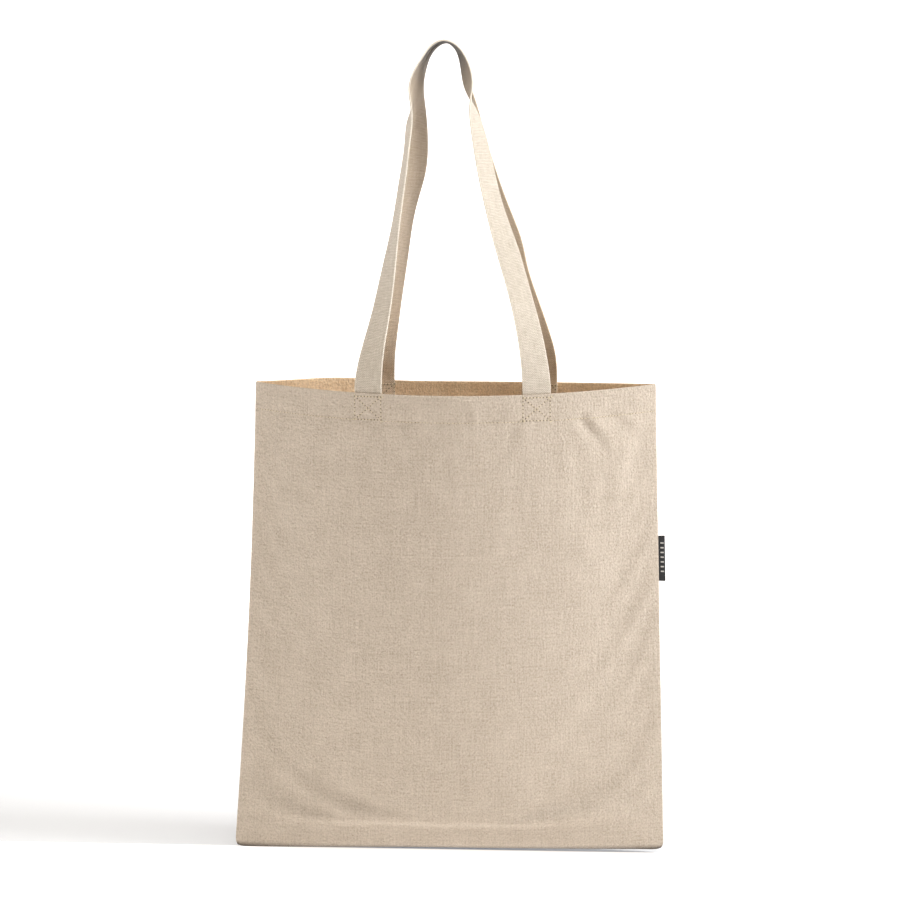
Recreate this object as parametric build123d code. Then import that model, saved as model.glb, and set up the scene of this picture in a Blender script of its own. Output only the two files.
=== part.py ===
from build123d import *
import os
from math import cos, radians, sin, sqrt

# Canvas tote bag, standing open on its bottom edge. Millimetres, +Z up, front towards -Y.
# The origin is on the floor under the middle of the bag.

# ---- driving dimensions -------------------------------------------------------------------
CLOTH = 0.7  # canvas thickness
CUT_HALF_WIDTH = 192.0  # half of the flat width, side seam to side seam
HEIGHT = 420.0  # floor to the rim at a side seam
RIM_HALF_WIDTH = 175.0  # half of the straight distance between the side seams at the rim
RIM_DIP = 5.0  # the rim is this much lower in the middle of a panel
RIM_SHIFT = 6.0  # the middle of the rim stands this far to the right of the bottom's
RIM_HALF_DEPTH = 65.0  # how far a panel stands out from the side seams at the rim
FLAT_HALF_DEPTH = 4.0  # half of the strip that rests on the floor
CURL_RADIUS = 11.0  # the bottom turns up into the panels with this radius
CURL_SWEEP = 71.5  # degrees of that turn
SIDE_FILL = 0.008  # share of the depth that is left at a side seam
HEM = 25.0  # depth of the turned hem
ALLOWANCE = 10.0  # seam allowance, turned to the inside

WEBBING = 1.6  # handle webbing thickness
WEBBING_WIDTH = 25.0
SEWN_GAP = 0.1  # between the hem and the end of a handle
HANDLE_X = 72.4  # middle of a handle end from the middle of its handle
FRONT_HANDLE_SHIFT = 0.7  # the middle of the front handle from the middle of the rim
BACK_HANDLE_SHIFT = 2.9
TAB_ABOVE_RIM = 1.4  # the sewn end of a handle stops this far above the rim
HANDLE_START = 2.3  # the free loop starts this far above the rim
APEX_GAP = 0.4  # half of the gap between the two handles at the top

THREAD = 0.25  # how far a stitch stands proud
THREAD_WIDTH = 0.8
BOX_WIDTH = 23.0  # box stitch that holds a handle end
BOX_HEIGHT = 21.0
BOX_BELOW_RIM = 4.5
OVERLOCK = 4.0  # width of the thread round the raw edges
OVERLOCK_FROM = 45.0  # height where the side overlock starts

LABEL_HEIGHT = 41.0
LABEL_REACH = 6.0  # how far the folded label stands out of the side seam
LABEL_SEWN = 7.0  # how much of it is inside the seam
LABEL_THICKNESS = 0.5  # two layers of woven ribbon
LABEL_MID_Z = 266.0
LABEL_GAP = 0.6  # between the seam edge and the free flap

# Routes of the two handles, each from its left end to its right one: x from the middle of the
# rim, height above the start, and the turn of the webbing in degrees, which is 0 where its face
# looks to the front, 90 where its edge does, and more where its inner face shows.
FRONT_ROUTE = [
    (-71.5, 0.0, 17), (-69.5, 24.0, 30), (-61.5, 63.0, 48), (-55.4, 98.0, 58),
    (-48.6, 142.0, 72), (-43.5, 178.0, 75), (-39.5, 210.0, 77), (-36.8, 238.0, 86),
    (-34.3, 254.0, 112), (-31.2, 269.0, 116), (-26.5, 282.0, 100), (-20.0, 291.5, 90),
    (-10.4, 297.0, 90), (-1.0, 292.5, 90), (5.0, 284.0, 93), (9.2, 272.0, 105),
    (12.2, 259.0, 104), (15.0, 244.0, 86), (20.8, 219.0, 67), (28.0, 187.0, 57),
    (37.5, 150.0, 49), (48.0, 116.0, 44), (57.5, 84.0, 44), (65.5, 53.0, 37),
    (71.0, 23.0, 26), (73.0, 0.0, 17),
]
BACK_ROUTE = [
    (-69.6, 0.0, 17), (-68.3, 20.0, 26), (-63.5, 47.0, 42), (-57.0, 80.0, 54),
    (-51.5, 108.0, 60), (-46.0, 138.0, 65), (-40.5, 163.0, 62), (-35.5, 185.0, 55),
    (-33.5, 211.0, 54), (-33.2, 236.0, 64), (-31.8, 257.0, 84), (-27.5, 276.0, 90),
    (-20.0, 290.0, 90), (-10.4, 296.5, 90), (-0.8, 290.5, 90), (6.0, 278.0, 90),
    (11.0, 262.0, 88), (15.0, 244.0, 80), (20.5, 218.0, 66), (27.5, 189.0, 58),
    (35.5, 160.0, 50), (42.5, 139.0, 42), (47.0, 123.0, 34), (52.5, 101.0, 42),
    (61.0, 72.0, 44), (69.0, 44.0, 36), (74.0, 20.0, 24), (75.4, 0.0, 17),
]
SPAN = 2  # steps of the route in one span of the webbing's surface

FRONT = -1
BACK = 1
LEFT = -1
RIGHT = 1


# ---- shape of a panel ---------------------------------------------------------------------
def bulge(u):
    """Share of the depth at u, which runs from -1 at the left seam to 1 at the right one."""
    return SIDE_FILL + (1 - SIDE_FILL) * (1 - u * u)


def half_width(z):
    return CUT_HALF_WIDTH + (RIM_HALF_WIDTH - CUT_HALF_WIDTH) * z / HEIGHT


def middle_x(z):
    return RIM_SHIFT * z / HEIGHT


def wall_start():
    """Depth and height where the bottom curl meets the wall."""
    sweep = radians(CURL_SWEEP)
    return FLAT_HALF_DEPTH + CURL_RADIUS * sin(sweep), CURL_RADIUS * (1 - cos(sweep))


def wall_depth(z):
    """Half depth of the bag at its middle, at height z above the curl."""
    y1, z1 = wall_start()
    share = (z - z1) / (HEIGHT - z1)
    return sqrt(y1**2 + (RIM_HALF_DEPTH**2 - y1**2) * share)


def rim_z(u):
    return HEIGHT - RIM_DIP * bulge(u)


def across(u, z):
    """Thickness of the cloth as it is measured along Y, where the panel slants."""
    slope = 2 * wall_depth(z) * u / half_width(z)
    return sqrt(1 + slope * slope)


def place(side, u, y, z):
    """Point of a section: y is the distance from the middle plane of the bag."""
    return Vector(middle_x(z) + half_width(z) * u, side * y, z)


def u_at(x, z):
    return (x - middle_x(z)) / half_width(z)


def wall_point(side, u, z, inwards):
    """Point on the wall at height z, the given depth inside its outer face."""
    y = wall_depth(z) * bulge(u) + (CLOTH - inwards) * across(u, z)
    return place(side, u, max(y, 0.02), z)


def steps(first, last, count):
    return [first + (last - first) * i / (count - 1) for i in range(count)]


def curl_points(side, u, inner):
    """Points of the bottom curl, from the flat strip up to the wall."""
    g = bulge(u)
    wide = CURL_RADIUS * g + (0 if inner else CLOTH)
    high = CURL_RADIUS - (CLOTH if inner else 0)
    turns = [radians(a) for a in steps(0, CURL_SWEEP, 7)]
    return [
        place(side, u, FLAT_HALF_DEPTH * g + wide * sin(a), CURL_RADIUS - high * cos(a))
        for a in turns
    ]


def panel_section(side, u):
    """Closed outline of a panel at u: the wall, its turned hem and the bottom curl."""
    top = rim_z(u)
    hem_end = top - HEM
    low = wall_start()[1] + 12
    outer = curl_points(side, u, False)
    outer += [wall_point(side, u, z, 0) for z in steps(low, top, 9)]
    inner = curl_points(side, u, True)
    inner += [wall_point(side, u, z, CLOTH) for z in steps(low, hem_end, 8)]
    hem = [wall_point(side, u, z, 2 * CLOTH) for z in steps(hem_end, top, 3)]
    floor_end = place(side, u, 0, 0)
    floor_top = place(side, u, 0, CLOTH)
    return Wire([
        Edge.make_line(floor_end, outer[0]),
        Edge.make_spline(outer),
        Edge.make_line(outer[-1], hem[-1]),
        Edge.make_spline(hem[::-1]),
        Edge.make_line(hem[0], inner[-1]),
        Edge.make_spline(inner[::-1]),
        Edge.make_line(inner[0], floor_top),
        Edge.make_line(floor_top, floor_end),
    ])


def wall_block(side, us, outside, inside, z_low, z_high):
    """Curved block that follows the wall between two depths and two heights."""
    sections = []
    for u in us:
        low, high = z_low(u), z_high(u)
        heights = steps(low, high, 3)
        face_a = [wall_point(side, u, z, outside) for z in heights]
        face_b = [wall_point(side, u, z, inside) for z in heights]
        sections.append(Wire([
            Edge.make_spline(face_a),
            Edge.make_line(face_a[-1], face_b[-1]),
            Edge.make_spline(face_b[::-1]),
            Edge.make_line(face_b[0], face_a[0]),
        ]))
    return Solid.make_loft(sections)


# ---- seams --------------------------------------------------------------------------------
def seam_x(hand, z):
    return middle_x(z) + hand * half_width(z)


def seam_strip(hand, near, far, z_low, z_high, y_low, y_high):
    """Flat strip along a side seam, between two distances in from the seam."""
    corners = [
        (seam_x(hand, z_low) - hand * near, z_low),
        (seam_x(hand, z_high) - hand * near, z_high),
        (seam_x(hand, z_high) - hand * far, z_high),
        (seam_x(hand, z_low) - hand * far, z_low),
    ]
    outline = Wire.make_polygon([Vector(x, y_low, z) for x, z in corners])
    return Solid.extrude(Face(outline), Vector(0, y_high - y_low, 0))


def block(x_low, x_high, y_low, y_high, z_low, z_high):
    size = (x_high - x_low, y_high - y_low, z_high - z_low)
    middle = Vector(x_low + x_high, y_low + y_high, z_low + z_high) / 2
    return Pos(middle) * Box(*size)


def bottom_reach():
    """Half length of the bottom seam allowance, which stops at the side allowances."""
    return CUT_HALF_WIDTH - ALLOWANCE - OVERLOCK


def allowances(side):
    """The seam allowances of one panel: two along the sides and one along the bottom."""
    y_low, y_high = sorted((0, side * CLOTH))
    below_hem = HEIGHT - HEM - 1
    strips = [
        seam_strip(hand, 0, ALLOWANCE, 0, below_hem, y_low, y_high) for hand in (LEFT, RIGHT)
    ]
    x = bottom_reach()
    strips.append(block(-x, x, y_low, y_high, 0, ALLOWANCE))
    return strips


def label_pocket(extra):
    """Room that the sewn ends of the label take between the two panels."""
    half = LABEL_HEIGHT / 2
    thick = LABEL_THICKNESS / 2
    return seam_strip(
        RIGHT, -extra, LABEL_SEWN, LABEL_MID_Z - half, LABEL_MID_Z + half, -thick, thick
    )


def panel(side):
    us = [-1, -0.97, -0.88, -0.7, -0.45, -0.2, 0, 0.2, 0.45, 0.7, 0.88, 0.97, 1]
    body = Solid.make_loft([panel_section(side, u) for u in us])
    body = body.fuse(*allowances(side))
    return body - label_pocket(1.0)


def side_overlock(hand):
    """Thread wrapped round the raw edges of both side allowances."""
    end = HEIGHT - HEM - 3
    wrap = seam_strip(hand, ALLOWANCE - OVERLOCK, ALLOWANCE + THREAD, OVERLOCK_FROM, end,
                      -CLOTH - THREAD, CLOTH + THREAD)
    cloth = seam_strip(hand, 0, ALLOWANCE, 0, HEIGHT, -CLOTH, CLOTH)
    return wrap - cloth


def bottom_overlock():
    x = bottom_reach() - OVERLOCK
    wrap = block(-x, x, -CLOTH - THREAD, CLOTH + THREAD, ALLOWANCE - OVERLOCK, ALLOWANCE + THREAD)
    cloth = block(-2 * x, 2 * x, -CLOTH, CLOTH, 0, ALLOWANCE)
    return wrap - cloth


# ---- stitches on the hem ------------------------------------------------------------------
def handle_x(side, hand):
    """x at the middle of a handle end."""
    shift = FRONT_HANDLE_SHIFT if side == FRONT else BACK_HANDLE_SHIFT
    return RIM_SHIFT + shift + hand * HANDLE_X


def handle_u(side, hand, reach=0.0):
    """u at the middle of a handle end, or at the given distance from it."""
    return u_at(handle_x(side, hand) + reach, HEIGHT)


def hem_stitch(side):
    """The hem's stitch line, in the three runs that the box stitches leave."""
    half = BOX_WIDTH / 2 + THREAD_WIDTH
    end = 0.985
    runs = [
        (-end, handle_u(side, LEFT, -half)),
        (handle_u(side, LEFT, half), handle_u(side, RIGHT, -half)),
        (handle_u(side, RIGHT, half), end),
    ]

    def low(u):
        return rim_z(u) - HEM + 1.0

    def high(u):
        return low(u) + THREAD_WIDTH

    lines = [wall_block(side, steps(a, b, 7), -THREAD, 0, low, high) for a, b in runs]
    return Compound(lines)


def box_stitch(side, hand):
    """A square of stitches with a cross in it, which holds one handle end to the hem."""
    reach = BOX_WIDTH / 2 + 2
    us = [handle_u(side, hand, x) for x in steps(-reach, reach, 5)]
    skin = wall_block(side, us, -THREAD, 0, lambda u: rim_z(u) - HEM - 4, lambda u: rim_z(u) - 2)
    mid_z = rim_z(handle_u(side, hand)) - BOX_BELOW_RIM - BOX_HEIGHT / 2
    square = Rectangle(BOX_WIDTH, BOX_HEIGHT)
    square -= Rectangle(BOX_WIDTH - 2 * THREAD_WIDTH, BOX_HEIGHT - 2 * THREAD_WIDTH)
    diagonal = sqrt(BOX_WIDTH**2 + BOX_HEIGHT**2) - 2 * THREAD_WIDTH
    turn = Vector(BOX_WIDTH, BOX_HEIGHT).get_angle(Vector(1, 0))
    for way in (turn, -turn):
        square += Rot(Z=way) * Rectangle(diagonal, THREAD_WIDTH)
    middle = Vector(handle_x(side, hand), 0, mid_z)
    plane = Plane(origin=middle, x_dir=(1, 0, 0), z_dir=(0, -1, 0))
    cutter = extrude(plane * square, -side * (RIM_HALF_DEPTH + 10))
    return skin & cutter


# ---- handles ------------------------------------------------------------------------------
def handle_end(side, hand):
    """The end of a handle, sewn flat to the inside of the hem."""
    half = WEBBING_WIDTH / 2
    us = [handle_u(side, hand, x) for x in steps(-half, half, 5)]
    top = rim_z(handle_u(side, hand)) + TAB_ABOVE_RIM
    return wall_block(
        side, us, 2 * CLOTH + SEWN_GAP, 2 * CLOTH + SEWN_GAP + WEBBING,
        lambda u: rim_z(u) - HEM, lambda u: top,
    )


def handle_base(side):
    """Distance of the webbing's middle from the middle plane at the rim, and the rim's height."""
    u = handle_u(side, RIGHT)
    height = rim_z(u)
    return wall_point(BACK, u, height, 2 * CLOTH + SEWN_GAP + WEBBING / 2).Y, height


def handle_loop(side):
    """The free loop of a handle: webbing that leans in and turns edge-on at the top."""
    route = FRONT_ROUTE if side == FRONT else BACK_ROUTE
    base_y, base_z = handle_base(side)
    top_y = APEX_GAP + WEBBING_WIDTH / 2
    apex = max(h for _, h, _ in route)
    points = [
        Vector(
            RIM_SHIFT + x,
            side * (base_y + (top_y - base_y) * h / apex),
            base_z + HANDLE_START + h,
        )
        for x, h, _ in route
    ]
    corners = []
    for i, (_, _, turn) in enumerate(route):
        along = direction(points, i)
        across_loop = (Vector(0, 1, 0) - along * along.Y).normalized()
        flat = across_loop.cross(along)
        width = flat * cos(radians(turn)) + across_loop * (side * sin(radians(turn)))
        corners.append(ribbon_corners(points[i], width, along.cross(width)))
    marks = [0.0]
    for before, after in zip(points, points[1:]):
        marks.append(marks[-1] + (after - before).length)
    return ribbon(corners, marks)


def direction(points, i):
    """Direction of the route at one of its points."""
    if i == 0:
        return Vector(0, 0, 1)
    if i == len(points) - 1:
        return Vector(0, 0, -1)
    before = points[i] - points[i - 1]
    after = points[i + 1] - points[i]
    return (before.normalized() * after.length + after.normalized() * before.length).normalized()


def ribbon(corners, marks):
    """Closed solid between four long edges, in spans of the route that share their ends."""
    stops = [mark / marks[-1] for mark in marks[:-1:SPAN]] + [1.0]
    rails = []
    for k in range(4):
        rail = Edge.make_spline([section[k] for section in corners], parameters=marks)
        rails.append([rail.trim(a, b) for a, b in zip(stops, stops[1:])])
    faces = [Face(Wire.make_polygon(cap)) for cap in (corners[0], corners[-1])]
    for k in range(4):
        faces += [Face.make_surface_from_curves(a, b) for a, b in zip(rails[k - 1], rails[k])]
    return Solid(Shell(Face.sew_faces(faces)[0]))


def ribbon_corners(middle, width, thick):
    """The four corners of the webbing's section, in order round it."""
    a = width.normalized() * (WEBBING_WIDTH / 2)
    b = thick.normalized() * (WEBBING / 2)
    return [middle - a - b, middle - a + b, middle + a + b, middle + a - b]


# ---- label --------------------------------------------------------------------------------
def side_label():
    half = LABEL_HEIGHT / 2 - 0.3
    thick = LABEL_THICKNESS / 2
    return seam_strip(
        RIGHT, -LABEL_REACH, -LABEL_GAP, LABEL_MID_Z - half, LABEL_MID_Z + half, -thick, thick
    )


# ---- nodes --------------------------------------------------------------------------------
def nodes():
    made = {
        "front_panel": panel(FRONT),
        "back_panel": panel(BACK),
        "left_seam_thread": side_overlock(LEFT),
        "right_seam_thread": side_overlock(RIGHT),
        "bottom_seam_thread": bottom_overlock(),
        "side_label": side_label(),
        "label_sewn_ends": label_pocket(0),
    }
    for side, name in ((FRONT, "front"), (BACK, "back")):
        made[f"{name}_handle"] = handle_loop(side)
        made[f"{name}_hem_stitch"] = hem_stitch(side)
        for hand, which in ((LEFT, "left"), (RIGHT, "right")):
            made[f"{name}_{which}_handle_end"] = handle_end(side, hand)
            made[f"{name}_{which}_box_stitch"] = box_stitch(side, hand)
    return made


def main():
    os.makedirs("parts", exist_ok=True)
    for name, shape in nodes().items():
        export_step(shape, f"parts/{name}.step")


main()
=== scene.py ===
from math import cos, exp, hypot, pi, radians, sin, sqrt

import bmesh
import bpy
import numpy as np
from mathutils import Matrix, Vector, noise
from mathutils.bvhtree import BVHTree


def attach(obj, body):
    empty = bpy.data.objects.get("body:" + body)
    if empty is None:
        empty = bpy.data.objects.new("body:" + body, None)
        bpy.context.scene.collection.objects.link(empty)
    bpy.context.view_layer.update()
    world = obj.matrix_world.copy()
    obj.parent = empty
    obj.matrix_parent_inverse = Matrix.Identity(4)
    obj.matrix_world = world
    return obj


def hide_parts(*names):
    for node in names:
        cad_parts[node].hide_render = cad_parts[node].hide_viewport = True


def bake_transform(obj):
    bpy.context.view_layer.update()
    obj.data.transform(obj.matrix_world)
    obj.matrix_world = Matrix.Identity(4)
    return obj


# Canvas tote bag standing open on its bottom seam: canvas, webbing, thread and label, made
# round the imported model. Metres, +Z up, front towards -Y, origin on the floor under the bag.

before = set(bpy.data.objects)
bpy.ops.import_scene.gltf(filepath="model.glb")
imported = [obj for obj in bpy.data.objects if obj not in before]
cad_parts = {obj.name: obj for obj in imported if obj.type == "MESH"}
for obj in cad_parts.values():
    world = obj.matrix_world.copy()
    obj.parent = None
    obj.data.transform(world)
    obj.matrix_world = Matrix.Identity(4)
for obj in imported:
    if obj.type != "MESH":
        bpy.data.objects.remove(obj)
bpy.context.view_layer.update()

FRONT, BACK = -1, 1
LEFT, RIGHT = -1, 1
SIDES = {FRONT: "front", BACK: "back"}
HANDS = {LEFT: "left", RIGHT: "right"}

# ---- sizes of the sewn bag ----------------------------------------------------------------
CLOTH = 0.0007  # canvas thickness
CUT_HALF_WIDTH = 0.192  # at the bottom seam
HEIGHT = 0.420
RIM_HALF_WIDTH = 0.175  # the open rim is narrower, because the panels bow apart
RIM_DIP = 0.005  # how much lower the rim is at its middle than at the seams
RIM_SHIFT = 0.006  # the bag leans this far to the right at the rim
RIM_HALF_DEPTH = 0.065
FLAT_HALF_DEPTH = 0.004  # half the flat strip that the bag stands on
CURL_RADIUS = 0.011  # the panels curl up from that strip
CURL_SWEEP = 71.5  # degrees
SIDE_FILL = 0.008  # share of the full depth that is left at the side seams
HEM = 0.025
ALLOWANCE = 0.010
SEAM_LIFT = 0.00096  # the two turned allowances lift a panel this much at the seam
SEAM_LIFT_POWER = 6  # how quickly that dies away from the seam

BOTTOM_LIFT = 0.0034  # how far the bottom stands off the floor at its right end
LIFT_ENDS = 0.06  # height at which the bottom's lift has faded out
CORNER_ROUND = 0.0024  # how far the bottom corners are rounded off
CORNER_FROM, CORNER_WIDE = 0.965, 0.035  # the u where that starts, and its reach to the seam
CORNER_HIGH = 0.009  # height at which it has faded out
CORNER_RISE = 0.7  # how far a corner rises, as a share of how far it goes in
LEFT_DRAW = 0.0028  # how far the left side draws in at half height
BACK_RISE = 0.0032  # how far the back rim stands up
BACK_RISE_U, BACK_RISE_WIDE = -0.62, 0.25
BACK_RISE_FROM, BACK_RISE_HIGH = 0.3, 0.1  # height where it starts, and over which it grows

WEBBING = 0.0016  # webbing thickness
WEBBING_WIDTH = 0.025
SEWN_GAP = 0.0001
HANDLE_X = 0.0724  # from the middle of the rim to the middle of a sewn end
HANDLE_SHIFT = {FRONT: 0.0007, BACK: 0.0029}
HANDLE_START = 0.0023  # a loop's route starts this far above the rim
APEX_GAP = 0.0004  # half the gap between the two handles at the top

BOX_WIDTH = 0.023
BOX_HEIGHT = 0.0200
BOX_BELOW_RIM = 0.0030
STITCH_LINE = 0.0014  # the hem is sewn this far above its lower edge
STITCH_STEP = 0.002  # spacing of the places where a line of stitches is laid on the cloth
HEM_ENDS_U = 0.985  # the hem's stitches stop at this u on both sides
HEM_BOX_GAP = 0.0008  # and this far from a box stitch
OVERLOCK = 0.004  # how far the overlock reaches in from the raw edge
OVERLOCK_FROM = 0.045
OVERLOCK_PAST = 0.0003  # how far its loops stand past the raw edge

LABEL_HEIGHT = 0.0404
LABEL_REACH = 0.006  # how far the label stands out of the seam
LABEL_SEWN = 0.007  # how far its ends go into the seam
LABEL_MID_Z = 0.266

# ---- camera -------------------------------------------------------------------------------
CAMERA_AWAY = 2.3
CAMERA_HIGH = 0.651
CAMERA_TURN = radians(3.5)
CAMERA_DOWN = radians(7.2)
FOCAL = 44 / 15  # focal length as a share of the sensor's width
LENS_SHIFT = -1 / 180
SENSOR = 36.0


def put(name, data):
    """New object in the scene."""
    made = bpy.data.objects.new(name, data)
    bpy.context.scene.collection.objects.link(made)
    return made


def make_camera():
    """Front view from a little above and to the right."""
    lens = bpy.data.cameras.new("camera")
    lens.sensor_width = SENSOR
    lens.lens = SENSOR * FOCAL
    lens.shift_x = LENS_SHIFT
    camera = put("camera", lens)
    x = RIM_SHIFT + CAMERA_AWAY * sin(CAMERA_TURN)
    camera.location = (x, -CAMERA_AWAY * cos(CAMERA_TURN), CAMERA_HIGH)
    camera.rotation_euler = (pi / 2 - CAMERA_DOWN, 0, CAMERA_TURN)
    bpy.context.scene.camera = camera


# ---- node building ------------------------------------------------------------------------
class Wire:
    """An output socket that takes part in expressions, which add Math nodes."""

    def __init__(self, nodes, socket):
        self.nodes = nodes
        self.socket = socket

    def math(self, operation, *others):
        values = [self, *others]
        return self.nodes.add(
            "ShaderNodeMath", {"operation": operation}, dict(enumerate(values))
        )

    def __add__(self, other):
        return self.math("ADD", other)

    def __sub__(self, other):
        return self.math("SUBTRACT", other)

    def __mul__(self, other):
        return self.math("MULTIPLY", other)

    def __rsub__(self, other):
        return (self * -1.0) + other

    def sine(self):
        return self.math("SINE")

    def above(self, edge, softness):
        """0 under the edge and 1 over it, with a soft step between."""
        return ((self - edge) * (1 / softness)).clamped()

    def clamped(self):
        return self.math("MAXIMUM", 0.0).math("MINIMUM", 1.0)


class Nodes:
    """Adds nodes to a tree, with their settings, and values or wires for their sockets."""

    def __init__(self, tree):
        self.tree = tree

    def add(self, kind, settings=None, sockets=None, output=0):
        node = self.tree.nodes.new(kind)
        for name, value in (settings or {}).items():
            setattr(node, name, value)
        for name, value in (sockets or {}).items():
            if isinstance(value, Wire):
                self.tree.links.new(value.socket, node.inputs[name])
            else:
                node.inputs[name].default_value = value
        return Wire(self, node.outputs[output]) if node.outputs else node


def paint(red, green, blue):
    """Linear colour of a paint chip given in 0 to 255."""
    shares = [c / 255 for c in (red, green, blue)]
    return (*[((c + 0.055) / 1.055) ** 2.4 if c > 0.04 else c / 12.92 for c in shares], 1.0)


# ---- materials ----------------------------------------------------------------------------
CANVAS_YARN = 0.00062  # spacing of the canvas's yarns
CANVAS_RELIEF = 0.0007
CANVAS_LIGHT = paint(206, 193, 179)
CANVAS_SHADE = paint(163, 150, 134)
CANVAS_FLECK = paint(120, 98, 72)
CANVAS_FOLD_SHADE = paint(66, 56, 45)  # painted shade on the bottom fold, where the cloth turns under
CANVAS_INNER = (1.6, 1.42, 1.15, 1.0)  # painted light: tint of the side that looks into the bag, lighter and warmer, for light bounced inside it
SLUB_THIN, SLUB_LONG = 700, 28  # cells per metre across a thick place in a yarn, and along it
FOLD_PAST = 0.0062  # the bottom fold's painted shade reaches this far past the allowance,
FOLD_FADE = 0.007  # and fades out over this much cloth

RIB = 0.0013  # spacing of the webbing's ribs
WEBBING_YARN = 0.0016
CHEVRON = 0.0042  # half the width of a herringbone stripe
WEBBING_RELIEF = 0.0004
WEBBING_LIGHT = paint(214, 205, 193)
# painted highlight: the webbing's edges lighter, where they catch the light
WEBBING_EDGE_HIGHLIGHT = paint(243, 236, 223)
WEBBING_SHADE = paint(160, 148, 130)
WEBBING_INNER = (0.97, 0.88, 0.78, 1.0)  # painted shade: tint of the side that looks into the loop
EDGE_FROM, EDGE_FADE = 0.0116, 0.0006  # where the painted highlight along each edge starts, from the middle

THREAD_COLOURS = paint(226, 214, 188), paint(176, 160, 130)
# painted shade: dark discs standing for the shadow in the needle holes
HOLE_SHADE_COLOURS = paint(132, 121, 106), paint(98, 88, 75)
THREAD_TWIST = 2600.0  # twist cells per metre
THREAD_RELIEF = 0.00008

LABEL_DARK, LABEL_LIGHTER = paint(22, 22, 24), paint(52, 52, 55)
LABEL_MARKS = paint(205, 203, 198)
BAR_PITCH = 0.0042
BARS_FROM, BARS_TO = 0.0018, 0.0046  # the bars' ends, from the seam
BARS_HALF_RUN = 0.0145  # half the length of the row of bars
LABEL_YARN = 2500  # yarn cells per metre

INNER_MARK = "looks_inwards"  # face attribute of painted light and shade, described at inner_face


def new_material(name):
    """Empty material and its nodes."""
    material = bpy.data.materials.new(name)
    material.use_nodes = True
    material.node_tree.nodes.clear()
    return material, Nodes(material.node_tree)


def finish_material(nodes, colour, roughness, sheen=0.0, height=None, depth=0.0):
    """Principled surface of a fibre: dull, a little sheen, with the height as bump."""
    sockets = {
        "Base Color": colour,
        "Roughness": roughness,
        "Specular IOR Level": 0.25,
        "Sheen Weight": sheen,
        "Sheen Roughness": 0.5,
    }
    if height is not None:
        bump = {"Strength": 1.0, "Distance": depth, "Height": height}
        sockets["Normal"] = nodes.add("ShaderNodeBump", None, bump)
    surface = nodes.add("ShaderNodeBsdfPrincipled", None, sockets)
    nodes.add("ShaderNodeOutputMaterial", None, {"Surface": surface})


def mix(nodes, share, one, other):
    """Colour between two others."""
    return nodes.add("ShaderNodeMix", {"data_type": "RGBA"}, {0: share, 6: one, 7: other}, 2)


def shaded(nodes, colour, tint):
    """Colour multiplied by a tint."""
    sockets = {0: 1.0, 6: colour, 7: tint}
    return nodes.add(
        "ShaderNodeMix", {"data_type": "RGBA", "blend_type": "MULTIPLY"}, sockets, 2
    )


def split(nodes, place):
    """The first two parts of a vector."""
    first = nodes.add("ShaderNodeSeparateXYZ", None, {0: place})
    return first, Wire(nodes, first.socket.node.outputs[1])


def cloth_place(nodes, across, along):
    """The piece's own UV, in metres of cloth, stretched to cells per metre each way."""
    uv = nodes.add("ShaderNodeUVMap", {"uv_map": "UVMap"})
    return nodes.add(
        "ShaderNodeMapping", None, {"Vector": uv, "Scale": (across, along, 1.0)}
    )


def inner_face(nodes):
    """0 outside; on faces that look into the bag or a handle's loop, the painted light and shade
    they get.
    """
    return nodes.add("ShaderNodeAttribute", {"attribute_name": INNER_MARK}, None, 2)


def streaks(nodes, across, along, detail=2.0):
    """Noise whose cells are 1/across wide and 1/along long, in metres of cloth."""
    sockets = {
        "Vector": cloth_place(nodes, across, along),
        "Scale": 1.0,
        "Detail": detail,
        "Roughness": 0.6,
    }
    return nodes.add("ShaderNodeTexNoise", None, sockets)


def canvas_material():
    """Unbleached plain-weave canvas: slubs both ways, soft mottling and dark seed flecks."""
    material, nodes = new_material("canvas")
    yarn = cloth_place(nodes, pi / CANVAS_YARN, pi / CANVAS_YARN)
    x, y = split(nodes, yarn)
    weave = x.sine() * y.sine() * 0.5 + 0.5
    warp_slub = streaks(nodes, SLUB_THIN, SLUB_LONG)
    weft_slub = streaks(nodes, SLUB_LONG, SLUB_THIN)
    mottle = streaks(nodes, 45, 45, 4.0)
    grain = streaks(nodes, 650, 520, 1.0)
    pebble = streaks(nodes, 330, 290, 2.0)
    fleck = streaks(nodes, 700, 520, 0.0).above(0.80, 0.03)
    tone = warp_slub * 0.3 + weft_slub * 0.25 + mottle * 0.2 + weave * 0.15 + grain * 0.6
    light = mix(nodes, tone.above(0.52, 0.46), CANVAS_SHADE, CANVAS_LIGHT)
    colour = mix(nodes, fleck * 0.5, light, CANVAS_FLECK)
    # painted shade: the canvas darkens along the bottom fold, just past the allowance
    length = split(nodes, cloth_place(nodes, 1.0, 1.0))[1]
    fold = 1 - length.above(ALLOWANCE + FOLD_PAST, FOLD_FADE)
    colour = mix(nodes, fold * 0.9, colour, CANVAS_FOLD_SHADE)
    # painted light: faces that look into the bag take the warm CANVAS_INNER tint
    inner = inner_face(nodes)
    colour = mix(nodes, inner.above(0.0, 0.05), colour, shaded(nodes, colour, CANVAS_INNER))
    height = weave * 0.35 + warp_slub * 0.5 + weft_slub * 0.4 + grain * 1.1 + pebble * 1.9
    finish_material(nodes, colour, 0.92, 0.3, height, CANVAS_RELIEF)
    return material


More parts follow.
